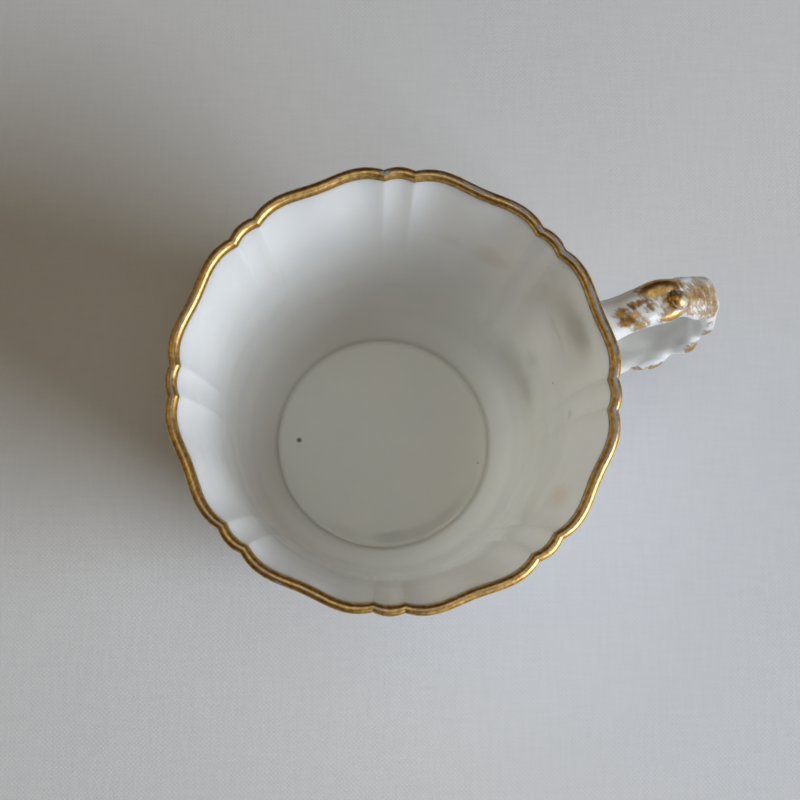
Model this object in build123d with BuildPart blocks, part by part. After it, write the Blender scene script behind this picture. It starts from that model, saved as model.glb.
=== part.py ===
"""Porcelain shaving mug: a moulded eight-lobed body on a foot ring, a luted twig handle and gilt edges.

Units are millimetres. The origin is the centre of the foot's resting face, +Z runs up the mug's axis
and +X points along the handle.
"""

import os
from math import cos, radians, sin

from build123d import *

# Overall size
mug_height = 80.0
rim_radius = 48.0  # to the crown of a lobe
lip_width = 2.1
floor_height = 8.0
floor_radius = 25.0
foot_height = 3.6
foot_radius = 28.6
foot_inner_radius = 24.6
foot_edge_inset = 1.2  # from the ring's widest line to the resting edge
foot_neck_inset = 1.6  # and to its top, under the body
foot_inner_lean = 1.0

# Lobed rim: eight broad lobes, each pair parted by a narrow bead between two notches
lobe_count = 8
lobe_sector = 360 / lobe_count
lobe_turn = 1.5  # the handle stands this far off the middle of its lobe, in degrees
bead_half_angle = 4.1
crown_angle = 10.5  # from the bead's middle to the lobe's crown
notch_depth = 0.95
bead_drop = 0.3
bead_side_drop = 0.45  # half way from the bead's middle to its notch
shoulder_angle = 6.5  # a point between the notch and the crown, and its depth
shoulder_depth = 0.22
waist_depth = 0.9
waist_start_angle = 16.3  # a point between the crown and the waist, and its depth
waist_start_depth = 0.38

# Wall stations: height, radius at a lobe's crown, and the share of the rim's lobing at that height
lip_base = mug_height - 1.1
outer_stations = [
    (foot_height, 26.6, 0.0),
    (8.0, 29.0, 0.0),
    (13.0, 31.7, 0.03),
    (20.0, 34.3, 0.12),
    (34.0, 37.1, 0.3),
    (48.0, 39.3, 0.5),
    (60.0, 41.6, 0.75),
    (69.0, 44.2, 0.9),
    (75.0, 46.4, 1.0),
    (lip_base, rim_radius, 1.0),
]
inner_stations = [
    (floor_height, floor_radius, 0.0),
    (12.0, 28.3, 0.0),
    (20.0, 31.6, 0.05),
    (34.0, 34.5, 0.15),
    (48.0, 36.7, 0.35),
    (60.0, 39.1, 0.65),
    (69.0, 41.8, 0.85),
    (75.0, 44.1, 1.0),
    (lip_base, rim_radius - lip_width, 1.0),
]

# Gilding is a film of burnished gold over the glaze
gilt_film = 0.12
gilt_drop = 2.6  # how far the gold reaches down from the top of the lip
foot_gilt_low = 1.0
foot_gilt_high = 2.7

# Handle: centreline points (X, Z) from the upper root to the lower one
handle_route = [
    (36.0, 66.0),
    (43.0, 68.5),
    (50.0, 71.0),
    (57.0, 72.6),
    (63.5, 71.6),
    (69.0, 66.6),
    (72.8, 58.9),
    (74.1, 50.5),
    (72.2, 41.2),
    (66.8, 33.6),
    (58.2, 29.3),
    (48.5, 27.9),
    (40.0, 27.6),
    (32.0, 27.6),
]
# Handle sections: share of the route's length, width across Y, thickness
handle_sections = [
    (0.0, 9.6, 7.6),
    (0.13, 8.8, 6.8),
    (0.33, 8.6, 6.4),
    (0.46, 9.4, 6.2),
    (0.57, 10.9, 6.0),
    (0.67, 11.8, 6.0),
    (0.79, 11.0, 6.2),
    (0.88, 10.8, 6.6),
    (1.0, 11.6, 7.6),
]
# Slip fillets: share of the route at the wall and where the slip ends, then the handle's width and thickness
upper_slip_at = (0.05, 0.139, 9.2, 7.2)
lower_slip_at = (0.963, 0.855, 11.6, 7.2)
root_flare = 1.45  # how much wider the slip fillet is at the wall than the handle is
slip_waist_flare = 1.2
slip_end_fit = 0.98  # the slip ends just inside the handle's skin
bud_overhang = 0.4  # how far inside the handle's edge the buds along it are centred

# Sprigs on the upper branch: share of the route, across, out, lean, tilt, length, radius
knop_at = (0.264, -1.0, 2.9, -70, 0, 4.6, 1.7)
twig_knots_at = [
    (0.190, -2.6, 2.0, 8, 10, 6.0, 1.6),
    (0.258, 2.6, 1.5, 0, -4, 8.6, 1.9),
    (0.246, -3.5, 1.1, 0, 6, 6.4, 1.5),
    (0.339, -3.6, 0.2, 4, -6, 10.0, 1.8),
    (0.383, 1.6, 2.1, 0, 14, 6.0, 1.6),
]
# Buds along both edges of the outer part: share of the route, handle's width there, length, radius
edge_buds_at = [
    (0.530, 10.4, 10.0, 1.35),
    (0.618, 11.4, 9.6, 2.05),
    (0.715, 11.6, 10.2, 1.8),
]


def lobed_section(height, crown_radius, lobing):
    """A closed cross-section of the mug at one height. Its lobing goes from 0, round, to 1, as at the rim."""

    def on_outline(angle, inset):
        radius = crown_radius - inset * lobing
        return (radius * cos(radians(angle)), radius * sin(radians(angle)))

    with BuildSketch(Plane.XY.offset(height)) as section:
        with BuildLine():
            for lobe in range(lobe_count):
                bead = lobe_turn + (lobe + 0.5) * lobe_sector
                next_bead = bead + lobe_sector
                Spline(
                    on_outline(bead - bead_half_angle, notch_depth),
                    on_outline(bead - bead_half_angle / 2, bead_side_drop),
                    on_outline(bead, bead_drop),
                    on_outline(bead + bead_half_angle / 2, bead_side_drop),
                    on_outline(bead + bead_half_angle, notch_depth),
                )
                Spline(
                    on_outline(bead + bead_half_angle, notch_depth),
                    on_outline(bead + shoulder_angle, shoulder_depth),
                    on_outline(bead + crown_angle, 0),
                    on_outline(bead + waist_start_angle, waist_start_depth),
                    on_outline(bead + lobe_sector / 2, waist_depth),
                    on_outline(next_bead - waist_start_angle, waist_start_depth),
                    on_outline(next_bead - crown_angle, 0),
                    on_outline(next_bead - shoulder_angle, shoulder_depth),
                    on_outline(next_bead - bead_half_angle, notch_depth),
                )
        make_face()
    return section.sketch


def lobed_sections(stations):
    """The cross-sections of a list of stations."""
    return [lobed_section(*station) for station in stations]


def lip_stations(side, skin):
    """The lip's rounded top as stations. side is 1 for its outer edge and -1 for its inner one, and skin is
    how far the surface stands off the bare lip."""
    middle = rim_radius - lip_width / 2
    half_widths = [(lip_base, lip_width / 2), (lip_base + 0.6, 0.82), (lip_base + 0.98, 0.4)]
    return [
        (height + (skin if half < lip_width / 2 else 0), middle + side * (half + skin), 1.0)
        for height, half in half_widths
    ]


def offset_stations(stations, skin):
    """The stations of a surface that stands off another one by skin."""
    return [(height, radius + skin, lobing) for height, radius, lobing in stations]


def write_step(piece, name):
    """Labels a finished piece and writes it as its own STEP file."""
    piece.part.label = name
    export_step(piece.part, f"parts/{name}.step")


# --- Body: one moulded shell, from the floor to the lip ---

with BuildPart() as body_blank:
    loft(lobed_sections(outer_stations))

with BuildPart() as lip:
    loft(lobed_sections(lip_stations(1, 0)), ruled=True)
    loft(lobed_sections(lip_stations(-1, 0)), ruled=True, mode=Mode.SUBTRACT)

with BuildPart() as body:
    add(body_blank.part)
    loft(lobed_sections(inner_stations), mode=Mode.SUBTRACT)
    add(lip.part)

# --- Foot ring: turned, and luted under the body ---


def foot_profile(skin):
    """Half of the foot ring's section, in the XZ plane, grown by skin on its outer side."""
    inner_edge = (foot_inner_radius, 0)
    outer_edge = (foot_radius - foot_edge_inset + skin, 0)
    outer_top = (foot_radius - foot_neck_inset + skin, foot_height)
    inner_top = (foot_inner_radius - foot_inner_lean, foot_height)
    with BuildSketch(Plane.XZ) as profile:
        with BuildLine():
            Line(inner_edge, outer_edge)
            ThreePointArc(outer_edge, (foot_radius + skin, foot_height / 2), outer_top)
            Polyline(outer_top, inner_top, inner_edge)
        make_face()
    return profile.sketch


with BuildPart() as foot_ring:
    revolve(foot_profile(0), Axis.Z)

# --- Handle: a twig cast in a two-part mould, with its ends cut to the wall ---

with BuildLine(Plane.XZ) as handle_line:
    Spline(*handle_route)
handle_path = handle_line.line


def across_handle(share):
    """The plane square to the handle's centreline at a share of its length. Its X runs along the mug's Y."""
    return Plane(origin=handle_path @ share, x_dir=(0, 1, 0), z_dir=handle_path % share)


def handle_section(share, width, thickness):
    """An oval section of the handle."""
    with BuildSketch(across_handle(share)) as section:
        Ellipse(width / 2, thickness / 2)
    return section.sketch


with BuildPart() as handle:
    sweep(
        [handle_section(*station) for station in handle_sections],
        path=handle_path,
        multisection=True,
    )
    add(body_blank.part, mode=Mode.SUBTRACT)

# --- Slip fillets: the clay that joins each end of the handle to the wall ---


def root_slip(wall_share, reach_share, width, thickness):
    """A collar round the handle, wide at the wall and as thin as the handle where it ends."""
    waist_share = (wall_share * 2 + reach_share) / 3
    with BuildPart() as slip:
        loft(
            [
                handle_section(wall_share, width * root_flare, thickness * root_flare),
                handle_section(waist_share, width * slip_waist_flare, thickness * slip_waist_flare),
                handle_section(reach_share, width * slip_end_fit, thickness * slip_end_fit),
            ]
        )
        add(body_blank.part, mode=Mode.SUBTRACT)
        add(handle.part, mode=Mode.SUBTRACT)
    return slip


upper_root_slip = root_slip(*upper_slip_at)
lower_root_slip = root_slip(*lower_slip_at)

# --- Sprigs: buds and knots, pressed separately and stuck on the twig ---


def bud(length, radius):
    """An egg-shaped bud along its own Z, centred on its origin."""
    with BuildPart() as shape:
        with BuildSketch(Plane.XZ):
            with BuildLine():
                EllipticalCenterArc((0, 0), radius, length / 2, start_angle=-90, arc_size=180)
                Line((0, length / 2), (0, -length / 2))
            make_face()
        revolve(axis=Axis.Z)
    return shape.part


def placed_bud(share, across, out, lean, tilt, length, radius):
    """A bud at a share of the handle's length, set across it and out from its back. It leans from the
    handle's own direction towards its back, and tilts to its side."""
    place = across_handle(share).location * Location((across, out, 0), (lean, tilt, 0))
    return bud(length, radius).moved(place)


with BuildPart() as thumb_knop:
    add(placed_bud(*knop_at))
    add(handle.part, mode=Mode.SUBTRACT)

with BuildPart() as twig_knots:
    for knot in twig_knots_at:
        add(placed_bud(*knot))
    add(handle.part, mode=Mode.SUBTRACT)
    add(thumb_knop.part, mode=Mode.SUBTRACT)

with BuildPart() as edge_buds:
    for share, width, length, radius in edge_buds_at:
        for side in (-1, 1):
            add(placed_bud(share, side * (width / 2 - bud_overhang), 0, 0, 0, length, radius))
    add(handle.part, mode=Mode.SUBTRACT)

# --- Gilding ---

with BuildPart() as rim_gilding:
    loft(lobed_sections(offset_stations(outer_stations, gilt_film)))
    loft(lobed_sections(lip_stations(1, gilt_film)), ruled=True)
    loft(lobed_sections(offset_stations(inner_stations, -gilt_film)), mode=Mode.SUBTRACT)
    loft(lobed_sections(lip_stations(-1, gilt_film)), ruled=True, mode=Mode.SUBTRACT)
    with BuildSketch(Plane.XY.offset(mug_height - gilt_drop)):
        Circle(rim_radius * 1.5)
    extrude(amount=gilt_drop * 2, mode=Mode.INTERSECT)
    add(body.part, mode=Mode.SUBTRACT)

with BuildPart() as foot_gilding:
    revolve(foot_profile(gilt_film), Axis.Z)
    with BuildSketch(Plane.XY.offset(foot_gilt_low)):
        Circle(foot_radius * 2)
    extrude(amount=foot_gilt_high - foot_gilt_low, mode=Mode.INTERSECT)
    add(foot_ring.part, mode=Mode.SUBTRACT)

# --- Output ---

pieces = {
    "body": body,
    "foot_ring": foot_ring,
    "handle": handle,
    "upper_root_slip": upper_root_slip,
    "lower_root_slip": lower_root_slip,
    "thumb_knop": thumb_knop,
    "twig_knots": twig_knots,
    "edge_buds": edge_buds,
    "rim_gilding": rim_gilding,
    "foot_gilding": foot_gilding,
}

os.makedirs("parts", exist_ok=True)
for name, piece in pieces.items():
    write_step(piece, name)
    print(name, "solids", len(piece.part.solids()), "volume", round(piece.part.volume, 2))
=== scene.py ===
"""Looks of the porcelain shaving mug: glazed lobed body, worn gilt edges and a twig handle with buds."""

from math import cos, pi, radians, sin

import bpy
import numpy as np
from mathutils import Matrix, Vector


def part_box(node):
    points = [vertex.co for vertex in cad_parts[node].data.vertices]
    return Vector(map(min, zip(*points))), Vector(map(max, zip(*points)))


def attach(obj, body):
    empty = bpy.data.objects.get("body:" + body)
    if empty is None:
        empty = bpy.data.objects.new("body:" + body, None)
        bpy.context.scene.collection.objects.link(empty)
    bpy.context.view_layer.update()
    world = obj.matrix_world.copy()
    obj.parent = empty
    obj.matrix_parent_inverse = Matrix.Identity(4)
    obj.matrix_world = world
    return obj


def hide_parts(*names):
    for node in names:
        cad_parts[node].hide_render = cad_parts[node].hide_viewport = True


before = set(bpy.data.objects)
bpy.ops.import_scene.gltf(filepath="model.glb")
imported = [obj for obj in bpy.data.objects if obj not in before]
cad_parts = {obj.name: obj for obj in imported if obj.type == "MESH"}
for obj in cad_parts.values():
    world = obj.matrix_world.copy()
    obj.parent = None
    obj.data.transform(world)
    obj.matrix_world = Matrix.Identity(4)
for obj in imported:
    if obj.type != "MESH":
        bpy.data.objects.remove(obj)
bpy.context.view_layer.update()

MM = 0.001

# ---------------------------------------------------------------- dimensions, in millimetres

rim_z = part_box("rim_gilding")[1].z / MM
foot_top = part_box("foot_ring")[1].z / MM
foot_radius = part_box("foot_ring")[1].x / MM
gilt_film = 0.12
gilt_reach_outside = 2.5  # how far the gold comes down from the top of the lip
gilt_reach_inside = 1.9
gilt_sink = 0.04  # how far the gold's lower edges lie under the glaze
crest_z = rim_z - gilt_film
lip_base = rim_z - 1.1
lip_width = 2.1
rim_radius = 48.0

lobe_count = 8
lobe_sector = 360 / lobe_count
lobe_turn = 1.5
bead_half_angle = 4.1
crown_angle = 10.5
notch_depth = 0.95
bead_drop = 0.3
waist_depth = 0.9

# Wall stations, as on the frame: height, radius at a lobe's crown, share of the rim's lobing
outer_stations = [
    (foot_top, 26.6, 0.0),
    (8.0, 29.0, 0.0),
    (13.0, 31.7, 0.03),
    (20.0, 34.3, 0.12),
    (34.0, 37.1, 0.3),
    (48.0, 39.3, 0.5),
    (60.0, 41.6, 0.75),
    (69.0, 44.2, 0.9),
    (75.0, 46.4, 1.0),
    (lip_base, rim_radius, 1.0),
]
inner_stations = [
    (8.5, 25.0, 0.0),
    (9.6, 26.2, 0.0),
    (12.0, 28.3, 0.0),
    (20.0, 31.6, 0.02),
    (34.0, 34.5, 0.08),
    (48.0, 36.7, 0.17),
    (60.0, 39.1, 0.4),
    (69.0, 41.8, 0.7),
    (75.0, 44.1, 0.95),
    (lip_base, rim_radius - lip_width, 1.0),
]

handle_route = [
    (36.0, 66.0),
    (43.0, 68.5),
    (50.0, 71.0),
    (57.0, 72.6),
    (63.5, 71.6),
    (69.0, 66.6),
    (72.8, 58.9),
    (74.1, 50.5),
    (72.2, 41.2),
    (66.8, 33.6),
    (58.2, 29.3),
    (48.5, 27.9),
    (40.0, 27.6),
    (32.0, 27.6),
]
handle_sections = [
    (0.0, 9.6, 7.6),
    (0.13, 8.8, 6.8),
    (0.33, 8.6, 6.4),
    (0.46, 9.4, 6.2),
    (0.57, 10.9, 6.0),
    (0.67, 11.8, 6.0),
    (0.79, 11.0, 6.2),
    (0.88, 10.8, 6.6),
    (1.0, 11.6, 7.6),
]

# Knots on the twig: share of its length, turn round it in degrees, half length, half width, height, and how
# far the knot winds round the twig for each millimetre along it
knots = [
    (0.19, 128, 5.4, 3.6, 0.85, 0.25),
    (0.24, 44, 5.4, 4.0, 1.35, 0.1),
    (0.246, 150, 4.6, 2.8, 0.85, -0.2),
    (0.333, 182, 6.4, 3.2, 1.2, 0.1),
    (0.383, 66, 4.8, 3.8, 0.75, 0.0),
]
edge_knots = [
    (share, turn, half_length, 3.6, height, 0.0)
    for share, half_length, height in ((0.525, 5.4, 0.95), (0.618, 5.6, 1.65), (0.715, 6.0, 1.4))
    for turn in (0, 180)
]
knot_girth = 4.2  # the twig's radius that turns a knot's width into an angle
skin_reach = 0.82  # the share of a knot that its own thin skin covers
skin_rise, skin_edge_depth = 0.13, 0.05
skin_belly, skin_root = 1.7, -1.72  # how deep the skin's closed underside lies in the twig
hollow_depth = 1.7  # of the trough along the strap's inner face, in its outer half
handle_bury, collar_bury = 1.2, 0.9  # how deep the handle and its slip reach into the wall

# Swellings of the wall that soften the shadows of the handle's roots inside: height up the mug, and how
# far the wall stands out
root_bosses = [(66.5, 2.6), (27.6, 3.0)]
boss_half_width, boss_half_height = 7.2, 6.0
boss_radius = 40.0  # the wall's radius near the roots, which turns an angle into a width

# ---------------------------------------------------------------- curves and meshes


def smooth_columns(table, where):
    """Every column of a table but the first, read at values of the first, on curves through its rows."""
    table = np.array(table, float)
    x, y = table[:, 0], table[:, 1:]
    slope = np.gradient(y, x, axis=0)
    i = np.clip(np.searchsorted(x, where) - 1, 0, len(x) - 2)
    step = x[i + 1] - x[i]
    t = ((where - x[i]) / step)[:, None]
    step = step[:, None]
    return (
        y[i] * (2 * t**3 - 3 * t**2 + 1)
        + slope[i] * step * (t**3 - 2 * t**2 + t)
        + y[i + 1] * (3 * t**2 - 2 * t**3)
        + slope[i + 1] * step * (t**3 - t**2)
    )


def lobe_inset(angle, depth=notch_depth):
    """How far the outline stands inside the lobes' crowns at an angle in radians."""
    u = np.abs((np.degrees(angle) - lobe_turn) % lobe_sector - lobe_sector / 2)
    half = lobe_sector / 2
    bead = depth - (depth - bead_drop) * (1 - (u / bead_half_angle) ** 2)
    shoulder = depth * (1 - np.clip((u - bead_half_angle) / (crown_angle - bead_half_angle), 0, 1)) ** 2
    waist = waist_depth * (1 - np.cos(pi * np.clip((u - crown_angle) / (half - crown_angle), 0, 1))) / 2
    return np.where(u < bead_half_angle, bead, np.where(u < crown_angle, shoulder, waist))


def root_boss(z, angle):
    """How far the wall swells out under the handle's two roots."""
    swell = 0
    for root_z, height in root_bosses:
        across = boss_radius * angle / boss_half_width
        swell = swell + height * np.exp(-(across**2) - ((z - root_z) / boss_half_height) ** 2)
    return swell


def wall_radius(z, angle):
    """The outer wall's radius at heights z and angles."""
    z = np.clip(z, outer_stations[0][0], outer_stations[-1][0])
    shape = smooth_columns(outer_stations, z.ravel())
    radius, lobing = shape[:, 0].reshape(z.shape), shape[:, 1].reshape(z.shape)
    return radius - lobing * lobe_inset(angle) + root_boss(z, angle)


def make_object(name, points, faces):
    """A smooth-shaded object from points in millimetres and faces."""
    mesh = bpy.data.meshes.new(name)
    mesh.from_pydata((np.asarray(points) * MM).tolist(), [], faces)
    mesh.validate()
    mesh.shade_smooth()
    piece = bpy.data.objects.new(name, mesh)
    bpy.context.scene.collection.objects.link(piece)
    return piece


def skin_rings(rings, loop=False, start_pole=None, end_pole=None, base=0):
    """The points and faces of a skin over rings of points. loop joins the last ring to the first, and a
    pole closes an end. base is the number of points that come before these ones in their mesh."""
    rings = np.asarray(rings, float)
    count, around = rings.shape[:2]
    points = rings.reshape(-1, 3).tolist()
    index = np.arange(count * around).reshape(count, around) + base
    if loop:
        index = np.vstack([index, index[:1]])
    turned = np.roll(index, -1, axis=1)
    quads = np.stack([index[:-1], turned[:-1], turned[1:], index[1:]], -1).reshape(-1, 4)
    faces = quads.tolist()
    for pole, ring, flip in ((start_pole, index[0], True), (end_pole, index[-1], False)):
        if pole is not None:
            points.append(list(pole))
            tip = base + len(points) - 1
            following = np.roll(ring, -1)
            for a, b in zip(ring.tolist(), following.tolist()):
                faces.append([b, a, tip] if flip else [a, b, tip])
    return points, faces


def ring_object(name, rings, **ends):
    """An object that is one skin over rings of points."""
    points, faces = skin_rings(rings, **ends)
    return make_object(name, points, faces)


def set_attribute(piece, name, values):
    """Stores one number for each of a piece's points, for its material to read."""
    attribute = piece.data.attributes.new(name, "FLOAT", "POINT")
    attribute.data.foreach_set("value", np.asarray(values, np.float32))


def mug_rings(profile, angles, notch=notch_depth):
    """Rings of points for a profile of (radius, height, lobing) rows."""
    profile = np.asarray(profile, float)
    inset = lobe_inset(angles, notch)
    radius = profile[:, 0, None] - profile[:, 2, None] * inset[None, :]
    height = np.broadcast_to(profile[:, 1, None], radius.shape)
    return np.stack([radius * np.cos(angles), radius * np.sin(angles), height], -1)


def stations_profile(stations, count):
    """A smooth run of (radius, height, lobing) rows through wall stations."""
    heights = np.linspace(stations[0][0], stations[-1][0], count)
    shape = smooth_columns(stations, heights)
    return np.column_stack([shape[:, 0], heights, shape[:, 1]])


def lip_profile(skin, count):
    """The lip's rounded crest from its outer side to its inner one, standing off the bare lip by skin."""
    turn = np.linspace(0, pi, count)
    middle = rim_radius - lip_width / 2
    radius = middle + (lip_width / 2 + skin) * np.cos(turn)
    height = lip_base + (crest_z - lip_base + skin) * np.sin(turn) ** 0.9
    return np.column_stack([radius, height, np.ones(count)])


# ---------------------------------------------------------------- body

angles = np.linspace(0, 2 * pi, 720, endpoint=False)

underside = [(r, foot_top, 0.0) for r in (4.0, 10.0, 16.0, 22.0, 25.0, 26.3)]
floor_z = 8.0
# Painted shade in the corner round the floor: its radius and width, and the heights it fades between
shaded_corner_radius, shaded_corner_width = 24.9, 1.3
corner_shade_full_z, corner_shade_clear_z = 8.9, 9.6
floor_run = [
    (24.86, 8.42, 0.0),
    (24.6, 8.44, 0.0),
    (23.6, 8.34, 0.0),
    (22.0, 8.18, 0.0),
    (20.2, 8.05, 0.0),
    (18.0, floor_z, 0.0),
    (12.0, floor_z, 0.0),
    (6.0, floor_z, 0.0),
    (2.0, floor_z, 0.0),
]
outer_rows_count = 54
body_profile = np.vstack(
    [
        underside,
        stations_profile(outer_stations, outer_rows_count),
        lip_profile(0, 13)[1:-1],
        stations_profile(inner_stations, 52)[::-1],
        floor_run,
    ]
)
body_grid = mug_rings(body_profile, angles)
outside = slice(len(underside), len(underside) + outer_rows_count)
signed_angles = (angles + pi) % (2 * pi) - pi
swell = root_boss(body_grid[outside, :, 2], signed_angles)
body_grid[outside, :, 0] += swell * np.cos(angles)
body_grid[outside, :, 1] += swell * np.sin(angles)
body = ring_object(
    "mug_body",
    body_grid,
    start_pole=(0, 0, foot_top),
    end_pole=(0, 0, floor_z),
)

# ---------------------------------------------------------------- foot ring

foot_profile = [
    (24.4, foot_top + 0.1, 0.0),
    (24.55, 1.2, 0.0),
    (24.7, 0.5, 0.0),
    (25.0, 0.12, 0.0),
    (25.4, 0.0, 0.0),
    (26.6, 0.0, 0.0),
    (27.2, 0.1, 0.0),
    (27.8, 0.42, 0.0),
    (28.3, 0.95, 0.0),
    (foot_radius - 0.02, 1.6, 0.0),
    (foot_radius - 0.02, 2.0, 0.0),
    (28.35, 2.65, 0.0),
    (27.8, 3.15, 0.0),
    (27.35, 3.45, 0.0),
    (27.1, 3.8, 0.0),
    (26.9, 4.2, 0.0),
    (26.2, 4.3, 0.0),
    (25.4, 4.0, 0.0),
]
round_angles = np.linspace(0, 2 * pi, 288, endpoint=False)
foot = ring_object("foot_rim", mug_rings(foot_profile, round_angles), loop=True)

foot_gilt_profile = [
    (foot_radius - 0.3, 0.95, 0.0),
    (foot_radius - 0.12, 1.05, 0.0),
    (foot_radius + 0.06, 1.35, 0.0),
    (foot_radius + 0.11, 1.8, 0.0),
    (foot_radius + 0.04, 2.2, 0.0),
    (foot_radius - 0.18, 2.58, 0.0),
    (foot_radius - 0.4, 2.62, 0.0),
    (foot_radius - 0.3, 1.8, 0.0),
]
foot_gilt = ring_object("foot_gilt_line", mug_rings(foot_gilt_profile, round_angles), loop=True)

# ---------------------------------------------------------------- gilding of the rim

gilt_angles = np.linspace(0, 2 * pi, 1440, endpoint=False)
crest_rows = 17


def wavering(angle, seed, size):
    """A hand-painted edge: a slow random waver along the rim."""
    rng = np.random.default_rng(seed)
    waver = np.zeros_like(angle)
    for pitch in (2, 3, 5, 8, 13, 21, 34):
        waver += rng.normal() * np.cos(pitch * angle + rng.uniform(0, 2 * pi)) / pitch**0.6
    return size * waver / np.abs(waver).max()


def gilt_profile():
    """The closed section of the gold over the lip, and the number of its rows outside, inside and under."""
    outer = stations_profile(outer_stations, 400)
    inner = stations_profile(inner_stations, 400)
    outer = outer[outer[:, 1] > rim_z - gilt_reach_outside][::3]
    inner = inner[inner[:, 1] > rim_z - gilt_reach_inside][::3][::-1]
    outer[:, 0] += gilt_film
    inner[:, 0] -= gilt_film
    outer[0, 0] -= gilt_film + gilt_sink
    inner[-1, 0] += gilt_film + gilt_sink
    top = lip_profile(gilt_film, crest_rows)
    under = lip_profile(-0.25, 9)[::-1]
    return np.vstack([outer, top[1:-1], inner, under]), len(outer), len(inner), len(under)


gilt_rows, outer_rows, inner_rows, under_rows = gilt_profile()
gilt_rings = mug_rings(gilt_rows, gilt_angles)
outer_waver = wavering(gilt_angles, 3, 0.35)
inner_waver = wavering(gilt_angles, 8, 0.3)
for row in range(outer_rows):
    gilt_rings[row, :, 2] += outer_waver * (1 - row / outer_rows)
for step in range(inner_rows):
    row = len(gilt_rows) - under_rows - 1 - step
    gilt_rings[row, :, 2] += inner_waver * (1 - step / inner_rows)
rim_gilt = ring_object("rim_gilt", gilt_rings, loop=True)

# Wear of the gilding: across the lip (1 on the crest, falling to both sides) and along it
crest = np.linspace(0, 1, crest_rows)[1:-1]
across = np.concatenate(
    [
        np.zeros(outer_rows),
        np.exp(-(((crest - 0.46) / 0.11) ** 2)),
        np.zeros(inner_rows + under_rows),
    ]
)
# Wear along the rim: angle in degrees, spread in degrees, amount
base_wear = 0.27
wear_places = [
    (8.0, 30.0, 0.5),
    (45.0, 24.0, 0.34),
    (-30.0, 20.0, 0.3),
    (150.0, 28.0, 0.16),
    (205.0, 14.0, 0.14),
    (250.0, 22.0, 0.1),
]
# Small rubbed nicks near the handle, and one farther round
wear_places += [(place, 0.8, 0.7) for place in (28.2, 20.0, -16.8, -24.9, 73.0)]


def spot_along_rim(place, spread):
    """1 at a place on the rim, falling away on both sides."""
    gap = (np.degrees(gilt_angles) - place + 180) % 360 - 180
    return np.exp(-((gap / spread) ** 2))


along = np.full(len(gilt_angles), base_wear)
for place, spread, amount in wear_places:
    along += amount * spot_along_rim(place, spread)
wear = across[:, None] * along[None, :]
# Two chips in the gold on the outer slope
outer_slope = slice(2, outer_rows + 4)
for place, spread in ((220.3, 1.3), (72.8, 0.8)):
    wear[outer_slope] = np.maximum(wear[outer_slope], 0.8 * spot_along_rim(place, spread))
set_attribute(rim_gilt, "wear", wear.ravel())

# ---------------------------------------------------------------- handle


def smooth_route(route, count):
    """Evenly spaced points and directions along a smooth curve through a route."""
    route = np.array(route, float)
    gaps = np.hypot(*np.diff(route, axis=0).T)
    reach = np.concatenate([[0], np.cumsum(gaps)])
    fine = smooth_columns(np.column_stack([reach, route]), np.linspace(0, reach[-1], 4000))
    length = np.concatenate([[0], np.cumsum(np.hypot(*np.diff(fine, axis=0).T))])
    even = np.linspace(0, length[-1], count)
    points = np.column_stack([np.interp(even, length, fine[:, 0]), np.interp(even, length, fine[:, 1])])
    return points, length[-1]


route_points, handle_length = smooth_route(handle_route, 801)
route_ways = np.gradient(route_points, axis=0)
route_ways /= np.linalg.norm(route_ways, axis=1)[:, None]


def twig_waver(share, turn):
    """The twig's uneven skin: shallow swellings along it, and faint long ridges like bark."""
    swell = 0.16 * np.sin(share * 41 + 0.6) * np.cos(turn - 1.1) + 0.12 * np.sin(share * 67 + 2 * turn)
    ridges = 0.05 * np.sin(5 * turn + 9 * np.sin(share * 11))
    ridges = ridges + 0.04 * np.sin(9 * turn - 7 * np.sin(share * 8))
    return swell + ridges


def knot_lift(share, turn):
    """How far the twig swells out over its knots."""
    lift = 0
    for place, turn_deg, half_length, half_width, height, winding in knots + edge_knots:
        along = (share - place) * handle_length
        around = ((turn - radians(turn_deg) + pi) % (2 * pi) - pi) * knot_girth - winding * along
        reach = (along / half_length) ** 2 + (around / half_width) ** 2
        lift = lift + height * np.clip(1 - reach, 0, 1) ** 2
    return lift


def handle_surface(share, turn, lift=0.0, scale=1.0):
    """Points on the handle at shares of its length and turns round it, lifted off it along its normal.
    A turn of 0 faces +Y and a quarter turn faces away from the finger gap."""
    share, turn = np.broadcast_arrays(np.asarray(share, float), np.asarray(turn, float))
    flat = np.clip(share.ravel(), 0, 1)
    grid = np.linspace(0, 1, len(route_points))
    x = np.interp(flat, grid, route_points[:, 0]).reshape(share.shape)
    z = np.interp(flat, grid, route_points[:, 1]).reshape(share.shape)
    way_x = np.interp(flat, grid, route_ways[:, 0]).reshape(share.shape)
    way_z = np.interp(flat, grid, route_ways[:, 1]).reshape(share.shape)
    size = smooth_columns(handle_sections, flat)
    half_width = size[:, 0].reshape(share.shape) / 2 * scale
    half_thickness = size[:, 1].reshape(share.shape) / 2 * scale
    out = np.sin(turn)
    side = np.cos(turn)
    lift = lift + twig_waver(share, turn) + knot_lift(share, turn)
    normal_side = side / half_width
    normal_out = out / half_thickness
    normal_size = np.hypot(normal_side, normal_out)
    y = half_width * side + lift * normal_side / normal_size
    away = half_thickness * out + lift * normal_out / normal_size
    hollow = hollow_depth * np.interp(share, (0.44, 0.58, 0.86, 0.95), (0, 1, 1, 0))
    inner = np.maximum(-out, 0)
    # A trough along the inner face, between slightly fuller edges
    away = away + hollow * inner**3 - 0.45 * hollow * inner * (1 - inner)
    return np.stack([x - way_z * away, y, z + way_x * away], -1)


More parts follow.
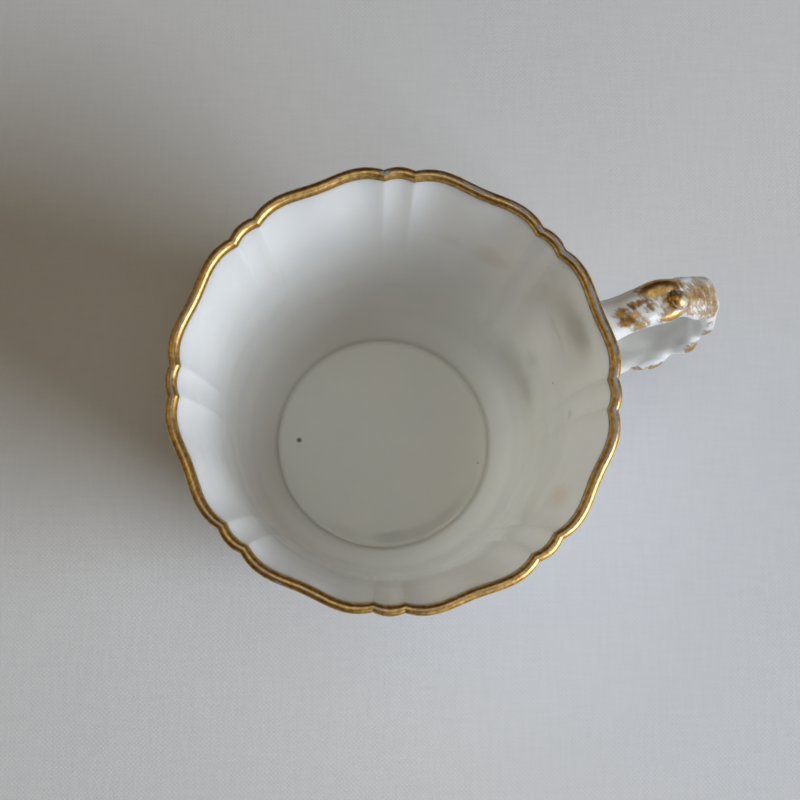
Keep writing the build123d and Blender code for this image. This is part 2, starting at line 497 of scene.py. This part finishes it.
def keep_in_wall(points, depth):
    """Moves points that lie deeper in the mug than depth under its outer surface out to that depth."""
    points = np.array(points, float)
    radius = np.hypot(points[..., 0], points[..., 1])
    angle = np.arctan2(points[..., 1], points[..., 0])
    least = wall_radius(points[..., 2], angle) - depth
    grow = np.maximum(least / radius, 1)
    points[..., 0] *= grow
    points[..., 1] *= grow
    return points


turns = np.linspace(0, 2 * pi, 120, endpoint=False)
handle_shares = np.linspace(0.04, 0.975, 420)
handle_grid = keep_in_wall(handle_surface(handle_shares[:, None], turns[None, :]), handle_bury)
handle = ring_object(
    "twig_handle",
    handle_grid,
    start_pole=handle_grid[0].mean(0),
    end_pole=handle_grid[-1].mean(0),
)


def root_collar(name, wall_share, end_share, flare):
    """The slip that joins one end of the handle to the wall: flared on the wall, and feathered out."""
    step = np.linspace(0, 1, 40)
    shares = wall_share + (end_share - wall_share) * step
    spread = 1 + flare * (1 - step) ** 2.6 + 0.008
    sink = np.where(step > 0.9, -(step - 0.9) * 1.2, 0)
    grid = np.stack(
        [handle_surface(s, turns, lift=k, scale=w) for s, w, k in zip(shares, spread, sink)]
    )
    grid = keep_in_wall(grid, collar_bury)
    return ring_object(name, grid, start_pole=grid[0].mean(0), end_pole=grid[-1].mean(0))


upper_collar = root_collar("upper_root_slip_skin", 0.061, 0.222, 0.14)
lower_collar = root_collar("lower_root_slip_skin", 0.949, 0.79, 0.16)


def knot_skin(knot, base):
    """The points and faces of one knot: a thin skin over the twig's swelling, closed below the surface."""
    place, turn_deg, half_length, half_width, _, winding = knot
    spokes = np.linspace(0, 2 * pi, 48, endpoint=False)
    outward = np.linspace(0.05, 1, 16) * skin_reach
    rings = []
    for on_top, run in ((True, outward), (False, outward[::-1][1:])):
        for reach in run:
            along = half_length * reach * np.cos(spokes)
            around = half_width * reach * np.sin(spokes) + winding * along
            thin = 1 - (reach / outward[-1]) ** 2
            lift = skin_rise * thin if on_top else -skin_belly * thin**0.4
            lift = lift - skin_edge_depth
            rings.append(
                handle_surface(place + along / handle_length, radians(turn_deg) + around / knot_girth, lift)
            )
    top = handle_surface(place, radians(turn_deg), skin_rise - skin_edge_depth)
    bottom = handle_surface(place, radians(turn_deg), skin_root)
    return skin_rings(rings, start_pole=top, end_pole=bottom, base=base)


def knots_object(name, rows):
    """One object of many knots."""
    points, faces = [], []
    for knot in rows:
        more_points, more_faces = knot_skin(knot, len(points))
        points += more_points
        faces += more_faces
    return make_object(name, points, faces)


twig_knots = knots_object("twig_knot_skins", knots)
edge_buds = knots_object("edge_bud_skins", edge_knots)


def knop_object(name, share, turn_deg):
    """The round thumb knop on its short neck."""
    profile = [(2.5, -0.9), (2.2, -0.3), (1.9, 0.1), (1.8, 0.35), (1.92, 0.65), (2.05, 1.0), (1.98, 1.4)]
    profile += [(1.7, 1.8), (1.25, 2.1), (0.75, 2.27), (0.3, 2.32)]
    table = np.column_stack([np.linspace(0, 1, len(profile)), profile])
    smooth = smooth_columns(table, np.linspace(0, 1, 50))
    foot_point = handle_surface(share, radians(turn_deg))
    top_point = handle_surface(share, radians(turn_deg), lift=1.0)
    axis = Vector(top_point - foot_point).normalized()
    place = Matrix.Translation(Vector(foot_point)) @ axis.to_track_quat("Z", "X").to_matrix().to_4x4()
    ring_turns = np.linspace(0, 2 * pi, 64, endpoint=False)
    rings = [[place @ Vector((r * cos(t), r * sin(t), h)) for t in ring_turns] for r, h in smooth]
    start, end = place @ Vector((0, 0, -0.95)), place @ Vector((0, 0, 2.33))
    return ring_object(name, np.array(rings), start_pole=start, end_pole=end)


thumb_knop = knop_object("thumb_knop_skin", 0.258, 107)

# ---------------------------------------------------------------- materials


class Nodes:
    """A short hand for building one node material."""

    def __init__(self, name):
        self.material = bpy.data.materials.new(name)
        self.material.use_nodes = True
        self.tree = self.material.node_tree
        self.shader = self.tree.nodes["Principled BSDF"]
        self.position = self.add("ShaderNodeTexCoord").outputs["Object"]

    def add(self, kind, **settings):
        node = self.tree.nodes.new(kind)
        for key, value in settings.items():
            setattr(node, key, value)
        return node

    def wire(self, target, value):
        """Sets a socket to a number or colour, or links it to another node's output."""
        if isinstance(value, bpy.types.NodeSocket):
            self.tree.links.new(value, target)
        else:
            target.default_value = value

    def math(self, operation, a, b=0.0, c=0.0, clamp=False):
        node = self.add("ShaderNodeMath", operation=operation, use_clamp=clamp)
        for socket, value in zip(node.inputs, (a, b, c)):
            self.wire(socket, value)
        return node.outputs[0]

    def vector(self, operation, a, b=(0, 0, 0)):
        node = self.add("ShaderNodeVectorMath", operation=operation)
        self.wire(node.inputs[0], a)
        self.wire(node.inputs[1], b)
        return node.outputs["Value" if operation in ("LENGTH", "DISTANCE", "DOT_PRODUCT") else "Vector"]

    def noise(self, scale, detail=3.0, rough=0.5, distort=0.0, where=None, stretch=None):
        """Noise with features about 1/scale metres across."""
        place = where or self.position
        if stretch:
            place = self.vector("MULTIPLY", place, stretch)
        node = self.add("ShaderNodeTexNoise")
        self.wire(node.inputs["Vector"], place)
        settings = {"Scale": scale, "Detail": detail, "Roughness": rough, "Distortion": distort}
        for key, value in settings.items():
            node.inputs[key].default_value = value
        return node.outputs[0]

    def ramp(self, value, low, high, start=0.0, end=1.0):
        """A smooth step from start to end as value goes from low to high."""
        node = self.add("ShaderNodeMapRange", interpolation_type="SMOOTHSTEP")
        for socket, number in zip(node.inputs, (value, low, high, start, end)):
            self.wire(socket, number)
        return node.outputs[0]

    def mix(self, amount, a, b, blend="MIX"):
        node = self.add("ShaderNodeMix", data_type="RGBA", blend_type=blend)
        sockets = [node.inputs["Factor"]] + [s for s in node.inputs if s.type == "RGBA"]
        for socket, value in zip(sockets, (amount, a, b)):
            self.wire(socket, value)
        return [s for s in node.outputs if s.type == "RGBA"][0]

    def attribute(self, name):
        return self.add("ShaderNodeAttribute", attribute_name=name).outputs["Fac"]

    def bump(self, height, distance, strength=1.0):
        node = self.add("ShaderNodeBump")
        node.inputs["Strength"].default_value = strength
        node.inputs["Distance"].default_value = distance
        self.wire(node.inputs["Height"], height)
        return node.outputs["Normal"]

    def near(self, place, size, softness=0.5, waver=0.0):
        """1 inside a spot of a size round a place, both in millimetres, fading out to its edge."""
        position = self.position
        if waver:
            wander = self.add("ShaderNodeTexNoise")
            self.wire(wander.inputs["Vector"], self.position)
            wander.inputs["Scale"].default_value = 160
            shift = self.vector("SUBTRACT", wander.outputs["Color"], (0.5, 0.5, 0.5))
            node = self.add("ShaderNodeVectorMath", operation="SCALE")
            self.wire(node.inputs[0], shift)
            node.inputs["Scale"].default_value = waver * MM
            position = self.vector("ADD", position, node.outputs[0])
        away = self.vector("SUBTRACT", position, tuple(c * MM for c in place))
        scaled = self.vector("DIVIDE", away, tuple(s * MM for s in size))
        return self.ramp(self.vector("LENGTH", scaled), softness, 1.0, 1.0, 0.0)


BODY_GLOW = 0.0071  # how far light spreads in the thin wall, in metres
TWIG_GLOW = 0.0012


def glaze_nodes(name, glow=BODY_GLOW):
    """White porcelain under a clear glaze: faint warm and cool clouds, fine pits and a slow ripple."""
    nodes = Nodes(name)
    clouds = nodes.ramp(nodes.noise(55, 4, 0.55), 0.3, 0.7)
    colour = nodes.mix(clouds, (0.785, 0.79, 0.775, 1), (0.82, 0.815, 0.785, 1))
    grains = nodes.ramp(nodes.noise(2600, 2, 0.6), 0.71, 0.78)
    colour = nodes.mix(nodes.math("MULTIPLY", grains, 0.12), colour, (0.42, 0.37, 0.3, 1))
    rough = nodes.math("MULTIPLY_ADD", nodes.noise(420, 3, 0.6), 0.08, 0.07)
    fine_ripple = nodes.math("MULTIPLY", nodes.noise(700, 2, 0.5), 0.06)
    ripple = nodes.math("ADD", nodes.noise(90, 2, 0.4), fine_ripple)
    nodes.wire(nodes.shader.inputs["Roughness"], rough)
    nodes.wire(nodes.shader.inputs["Normal"], nodes.bump(ripple, 0.00035, 0.6))
    nodes.shader.inputs["IOR"].default_value = 1.5
    nodes.shader.inputs["Subsurface Weight"].default_value = 1.0 if glow else 0.0
    nodes.shader.inputs["Subsurface Radius"].default_value = (1.0, 0.95, 0.85)
    nodes.shader.inputs["Subsurface Scale"].default_value = glow or BODY_GLOW
    nodes.base = colour
    return nodes


def gild(nodes, cover, colour):
    """Lays gold over a material where cover is 1, with a brown edge where it has worn thin."""
    tone = nodes.ramp(nodes.noise(900, 4, 0.65), 0.3, 0.7)
    gold = nodes.mix(tone, (0.44, 0.25, 0.075, 1), (0.8, 0.53, 0.21, 1))
    stain = nodes.ramp(cover, 0.05, 0.5)
    worn = nodes.mix(nodes.math("MULTIPLY", stain, 0.75), colour, (0.33, 0.2, 0.12, 1))
    solid = nodes.ramp(cover, 0.3, 0.8)
    nodes.wire(nodes.shader.inputs["Base Color"], nodes.mix(solid, worn, gold))
    nodes.wire(nodes.shader.inputs["Metallic"], solid)
    rough = nodes.math("MULTIPLY_ADD", nodes.noise(1300, 3, 0.6), 0.22, 0.2)
    nodes.wire(nodes.shader.inputs["Roughness"], nodes.math("MULTIPLY_ADD", solid, 0.08, rough))


def body_material():
    """The body's porcelain, with painted shade in the corner round its floor, painted light over the
    handle's roots, painted show-through shade inside and three specks."""
    nodes = glaze_nodes("porcelain_body")
    colour = nodes.base
    # Painted shade: the colour darkens in the corner round the floor, where shade gathers
    off_axis = nodes.vector("LENGTH", nodes.vector("MULTIPLY", nodes.position, (1, 1, 0)))
    off_corner = nodes.math("ABSOLUTE", nodes.math("SUBTRACT", off_axis, shaded_corner_radius * MM))
    height = nodes.vector("DOT_PRODUCT", nodes.position, (0, 0, 1))
    low = nodes.ramp(height, corner_shade_full_z * MM, corner_shade_clear_z * MM, 0.34, 0.0)
    corner = nodes.math("MULTIPLY", nodes.ramp(off_corner, 0.0, shaded_corner_width * MM, 1.0, 0.0), low)
    colour = nodes.mix(corner, colour, (0.42, 0.42, 0.4, 1))
    # Painted light: whiter colour over the handle's roots, lifting the shadows they cast through the wall:
    # place, size and whiteness
    painted_root_light = [((38.5, 0, 66.5), (8, 8.5, 8), 0.975), ((34.0, 0, 27.6), (9, 10, 9), 0.955)]
    for place, size, white in painted_root_light:
        colour = nodes.mix(nodes.near(place, size, 0.0), colour, (white, white * 0.995, white * 0.97, 1))
    # Painted show-through shade, standing for light seen through the wall: pinkish patches where paint on
    # the
    # outside, which is not built, would dim it, and bluish grey ones for the shadows of the handle's roots:
    # place, size, amount and colour
    painted_show_through = [
        ((31.2, 23.4, 61.0), (7.0, 7.0, 6.0), 0.42, (0.66, 0.56, 0.53, 1)),
        ((24.5, 30.0, 60.0), (5.5, 4.5, 4.0), 0.3, (0.66, 0.58, 0.56, 1)),
        ((26.6, -31.9, 66.0), (5.0, 5.0, 11.0), 0.5, (0.68, 0.54, 0.5, 1)),
        ((36.2, -14.6, 60.0), (2.4, 2.0, 2.0), 0.4, (0.62, 0.48, 0.46, 1)),
        # The last two are painted shadows of the handle's roots, seen through the wall
        ((34.5, 2.2, 41.0), (4.5, 3.2, 6.5), 0.5, (0.56, 0.58, 0.58, 1)),
        ((39.6, 3.0, 62.0), (2.5, 7.0, 1.6), 0.3, (0.56, 0.6, 0.64, 1)),
    ]
    for place, size, amount, tint in painted_show_through:
        spot = nodes.near(place, size, 0.1, 3.0)
        colour = nodes.mix(nodes.math("MULTIPLY", spot, amount), colour, tint)
    # Dark specks: place, size and darkness
    specks = [
        ((-18.5, 7.4, 8.1), 0.75, 0.95),
        ((19.8, -11.8, 8.1), 0.4, 0.4),
        ((36.6, -5.6, 49.6), 0.45, 0.5),
    ]
    for place, size, dark in specks:
        spot = nodes.near(place, (size, size, size), 0.5)
        colour = nodes.mix(nodes.math("MULTIPLY", spot, dark), colour, (0.05, 0.045, 0.04, 1))
    nodes.wire(nodes.shader.inputs["Base Color"], colour)
    return nodes.material


def rim_gilt_material():
    """Gold rubbed through to greyed porcelain where the piece's wear is high, with brown blemishes."""
    nodes = glaze_nodes("rim_gold")
    scratch = nodes.noise(1500, 4, 0.7)
    patches = nodes.ramp(nodes.noise(150, 4, 0.65), 0.34, 0.62, 0.45, 1.25)
    rub = nodes.math("MULTIPLY", nodes.attribute("wear"), patches)
    rub = nodes.math("MULTIPLY", rub, nodes.math("ADD", scratch, 0.75))
    cover = nodes.math("SUBTRACT", 1.0, rub, clamp=True)
    blemish = nodes.ramp(nodes.noise(750, 5, 0.78), 0.56, 0.74, 0.0, 0.36)
    cover = nodes.math("SUBTRACT", cover, blemish, clamp=True)
    rubbed = nodes.mix(0.6, nodes.base, (0.47, 0.42, 0.45, 1))
    gild(nodes, cover, rubbed)
    return nodes.material


def foot_gilt_material():
    """Gold that is rubbed unevenly all round."""
    nodes = glaze_nodes("foot_gold")
    cover = nodes.math("SUBTRACT", 1.15, nodes.noise(900, 5, 0.75), clamp=True)
    gild(nodes, cover, nodes.base)
    return nodes.material


def handle_material(name, glow):
    """Porcelain with gold brushed thinly on its knots and ends, and worn into fine slanting streaks."""
    nodes = glaze_nodes(name, glow)
    slanted = nodes.add("ShaderNodeVectorRotate", rotation_type="Z_AXIS")
    nodes.wire(slanted.inputs["Vector"], nodes.position)
    slanted.inputs["Angle"].default_value = radians(62)
    hatch = nodes.noise(1500, 3, 0.6, 0.3, where=slanted.outputs[0], stretch=(0.22, 1.0, 0.6))
    blots = nodes.noise(520, 4, 0.6)
    fine = nodes.noise(3000, 3, 0.7)
    brush = nodes.math("ADD", nodes.math("MULTIPLY", hatch, 0.5), nodes.math("MULTIPLY", blots, 0.3))
    brush = nodes.math("ADD", brush, nodes.math("MULTIPLY", fine, 0.2))
    gilt = nodes.attribute("gilt")
    cover = nodes.math("ADD", gilt, nodes.math("MULTIPLY", nodes.math("SUBTRACT", brush, 0.5), 3.4))
    cover = nodes.math("MULTIPLY", cover, nodes.ramp(gilt, 0.04, 0.3), clamp=True)
    gild(nodes, cover, nodes.base)
    return nodes.material


def foot_material():
    """Glazed porcelain, wiped bare on the resting edge."""
    nodes = glaze_nodes("porcelain_foot")
    height = nodes.add("ShaderNodeSeparateXYZ")
    nodes.wire(height.inputs[0], nodes.position)
    edge = nodes.math("ADD", height.outputs["Z"], nodes.math("MULTIPLY", nodes.noise(300, 3, 0.6), 0.0004))
    bare = nodes.ramp(edge, 0.0004, 0.0006, 1.0, 0.0)
    dirt = nodes.mix(nodes.noise(500, 4, 0.7), (0.62, 0.57, 0.48, 1), (0.74, 0.7, 0.62, 1))
    nodes.wire(nodes.shader.inputs["Base Color"], nodes.mix(bare, nodes.base, dirt))
    nodes.wire(nodes.shader.inputs["Roughness"], nodes.math("MULTIPLY_ADD", bare, 0.6, 0.15))
    return nodes.material


weave_repeat = 0.00108  # the width of two threads, in metres


def cloth_material():
    """Pale linen: a plain weave, with slubs and a slow unevenness."""
    nodes = Nodes("pale_linen")
    place = nodes.add("ShaderNodeSeparateXYZ")
    turned = nodes.add("ShaderNodeVectorRotate", rotation_type="Z_AXIS")
    nodes.wire(turned.inputs["Vector"], nodes.position)
    turned.inputs["Angle"].default_value = radians(19.4)
    nodes.wire(place.inputs[0], turned.outputs[0])
    pitch = 2 * pi / weave_repeat
    warp_shift = nodes.math("MULTIPLY", nodes.noise(60, 2, 0.5), 9.0)
    warp = nodes.math("SINE", nodes.math("MULTIPLY_ADD", place.outputs["X"], pitch, warp_shift))
    weft = nodes.math("SINE", nodes.math("MULTIPLY_ADD", place.outputs["Y"], pitch, warp_shift))
    weave = nodes.math("MULTIPLY", warp, weft)
    slubs = nodes.noise(900, 3, 0.6, stretch=(0.12, 1.0, 1.0), where=turned.outputs[0])
    slubs_across = nodes.noise(900, 3, 0.6, stretch=(1.0, 0.12, 1.0), where=turned.outputs[0])
    threads = nodes.math("ADD", slubs, slubs_across)
    height = nodes.math("ADD", nodes.math("MULTIPLY", weave, 0.3), threads)
    tint = nodes.ramp(threads, 0.7, 1.3)
    colour = nodes.mix(tint, (0.712, 0.712, 0.727, 1), (0.735, 0.735, 0.75, 1))
    nodes.wire(nodes.shader.inputs["Base Color"], colour)
    nodes.shader.inputs["Roughness"].default_value = 0.9
    nodes.shader.inputs["Specular IOR Level"].default_value = 0.2
    nodes.wire(nodes.shader.inputs["Normal"], nodes.bump(height, 0.00005, 0.6))
    return nodes.material


def gilt_on_handle(piece):
    """How thickly each point of a handle piece is gilded, by its place on the handle."""
    points = np.array([v.co for v in piece.data.vertices]) / MM
    # Daubs of gold: place, size and amount
    daubs = [
        ((51.6, 0.0, 74.0), (1.4, 0.9, 1.6), 1.3),
        ((53.0, -1.7, 74.0), (1.8, 1.1, 1.9), 1.9),
        ((54.6, -3.1, 73.4), (1.6, 0.9, 1.9), 1.9),
        ((53.9, 0.5, 75.3), (1.2, 0.9, 1.6), 0.7),
        ((56.2, 0.6, 76.0), (1.6, 0.7, 1.6), 0.66),
        ((57.3, -0.9, 76.0), (1.3, 0.9, 1.6), 0.7),
        ((58.4, 2.3, 75.5), (2.0, 1.0, 1.8), 0.7),
        ((60.6, 3.6, 75.0), (2.9, 2.3, 2.7), 1.75),
        ((63.0, 3.4, 75.0), (2.5, 1.9, 2.5), 1.75),
        ((66.0, 2.0, 74.6), (1.8, 0.9, 1.8), 0.85),
        ((62.6, -1.4, 76.6), (2.5, 2.0, 2.8), 1.1),
        ((61.2, -3.8, 74.6), (2.2, 1.1, 1.9), 0.95),
        ((63.2, -4.4, 74.0), (2.0, 0.9, 1.8), 0.85),
        ((66.7, -2.7, 74.0), (2.2, 1.8, 2.6), 0.92),
        ((69.0, -0.9, 72.5), (2.6, 2.6, 3.2), 0.84),
        ((67.4, -4.2, 72.8), (2.0, 1.1, 2.2), 0.84),
        ((71.6, 0.4, 69.8), (2.2, 3.4, 3.2), 0.9),
        ((72.6, -2.7, 68.4), (1.8, 2.6, 3.2), 1.05),
        ((72.3, -4.8, 66.8), (1.7, 1.5, 3.2), 1.0),
        ((70.0, -5.0, 69.0), (2.0, 1.2, 2.2), 0.66),
        ((69.3, -6.2, 66.2), (2.0, 1.0, 1.6), 0.8),
        ((74.2, 0.6, 62.5), (3.0, 3.4, 3.6), 0.6),
        ((75.4, 0.0, 55.5), (3.0, 1.6, 3.0), 0.5),
        ((50.2, -3.6, 70.4), (1.0, 0.7, 1.6), 0.7),
        ((74.6, -1.5, 64.5), (2.4, 3.2, 3.8), 0.95),
        ((74.2, -4.2, 61.5), (2.2, 1.7, 3.4), 0.85),
    ]
    # Daubs on the buds of both edges
    daubs += [((75.0, side * 6.0, 52.6), (2.4, 1.0, 1.9), 0.95) for side in (-1, 1)]
    daubs += [((74.6, side * 6.2, 47.4), (2.4, 1.0, 1.7), 0.9) for side in (-1, 1)]
    daubs += [((71.9, side * 7.3, 39.6), (2.6, 1.0, 2.2), 1.0) for side in (-1, 1)]
    daubs += [((63.6, side * 7.2, 31.9), (3.4, 0.5, 1.1), 0.9) for side in (-1, 1)]
    daubs += [((59.6, side * 6.2, 30.2), (2.4, 0.7, 1.2), 0.7) for side in (-1, 1)]
    cover = np.zeros(len(points))
    for place, size, amount in daubs:
        away = np.linalg.norm((points - np.array(place)) / np.array(size), axis=1)
        cover = np.maximum(cover, amount * np.exp(-(away**2) * 0.7))
    set_attribute(piece, "gilt", cover)


handle_pieces = [handle, upper_collar, lower_collar, twig_knots, edge_buds, thumb_knop]
twig_porcelain = handle_material("porcelain_handle", TWIG_GLOW)
sprig_porcelain = handle_material("porcelain_sprigs", 0)
for piece in handle_pieces:
    gilt_on_handle(piece)
    on_sprig = piece in (twig_knots, edge_buds, thumb_knop)
    piece.data.materials.append(sprig_porcelain if on_sprig else twig_porcelain)
body.data.materials.append(body_material())
foot.data.materials.append(foot_material())
rim_gilt.data.materials.append(rim_gilt_material())
foot_gilt.data.materials.append(foot_gilt_material())

replaced = {
    body: "body",
    foot: "foot_ring",
    rim_gilt: "rim_gilding",
    foot_gilt: "foot_gilding",
    handle: "handle",
    upper_collar: "upper_root_slip",
    lower_collar: "lower_root_slip",
    twig_knots: "twig_knots",
    edge_buds: "edge_buds",
    thumb_knop: "thumb_knop",
}
for piece, node in replaced.items():
    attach(piece, "root")
    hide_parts(node)

# ---------------------------------------------------------------- floor, light and camera

floor_mesh = bpy.data.meshes.new("floor")
floor_mesh.from_pydata([(-2, -2, 0), (2, -2, 0), (2, 2, 0), (-2, 2, 0)], [], [(0, 1, 2, 3)])
floor = bpy.data.objects.new("floor", floor_mesh)
bpy.context.scene.collection.objects.link(floor)
floor.data.materials.append(cloth_material())

world = bpy.data.worlds.new("room")
bpy.context.scene.world = world
world.use_nodes = True
world.node_tree.nodes["Background"].inputs["Color"].default_value = (0.03, 0.012, 0.006, 1)
world.node_tree.nodes["Background"].inputs["Strength"].default_value = 1.0


def direction(azimuth, elevation):
    """The unit vector towards an azimuth and an elevation in degrees."""
    turn, rise = radians(azimuth), radians(elevation)
    return Vector((cos(rise) * cos(turn), cos(rise) * sin(turn), sin(rise)))


def area_light(name, azimuth, elevation, distance, size, power, colour):
    """A soft light that faces the middle of the mug, with its height standing upright."""
    light = bpy.data.lights.new(name, "AREA")
    light.shape = "RECTANGLE"
    light.size, light.size_y = size
    light.energy = power
    light.color = colour
    lamp = bpy.data.objects.new(name, light)
    aim = Vector((0, 0, 0.05))
    way = direction(azimuth, elevation)
    lamp.location = aim + way * distance
    lamp.rotation_euler = way.to_track_quat("Z", "Y").to_euler()
    bpy.context.scene.collection.objects.link(lamp)


# A cool window with a dim second pane, a warm ceiling, and the warm far side of the room
area_light("window", -44.0, 28.0, 1.6, (0.9, 1.1), 28.0, (0.84, 0.915, 1.0))
area_light("window_wing", -96.0, 26.0, 1.6, (0.6, 1.0), 1.8, (0.84, 0.915, 1.0))
area_light("ceiling", 0.0, 89.9, 1.6, (0.8, 0.8), 2.8, (1.0, 0.99, 0.84))
area_light("room", 146.0, 40.0, 1.6, (0.8, 0.8), 1.9, (1.0, 0.74, 0.2))

# The camera looks down into the mug, rolled a little and moved a little off the rim's centre
view_distance = 0.5
view_roll = radians(12.6)
shift_right, shift_down = 0.001125, 0.002729
back = direction(-122.0, 79.2)
upright = (Vector((0, 0, 1)) - back * back.z).normalized()
sideways = upright.cross(back)
image_right = upright * sin(view_roll) + sideways * cos(view_roll)
image_up = upright * cos(view_roll) - sideways * sin(view_roll)
camera_data = bpy.data.cameras.new("camera")
camera_data.sensor_width = 36
camera_data.lens = 108
camera = bpy.data.objects.new("camera", camera_data)
target = Vector((0, 0, rim_z * MM))
eye = target + back * view_distance + image_right * shift_right - image_up * shift_down
camera.matrix_world = Matrix(
    (
        (image_right.x, image_up.x, back.x, eye.x),
        (image_right.y, image_up.y, back.y, eye.y),
        (image_right.z, image_up.z, back.z, eye.z),
        (0, 0, 0, 1),
    )
)
bpy.context.scene.collection.objects.link(camera)
bpy.context.scene.camera = camera
bpy.context.scene.view_settings.view_transform = "Standard"
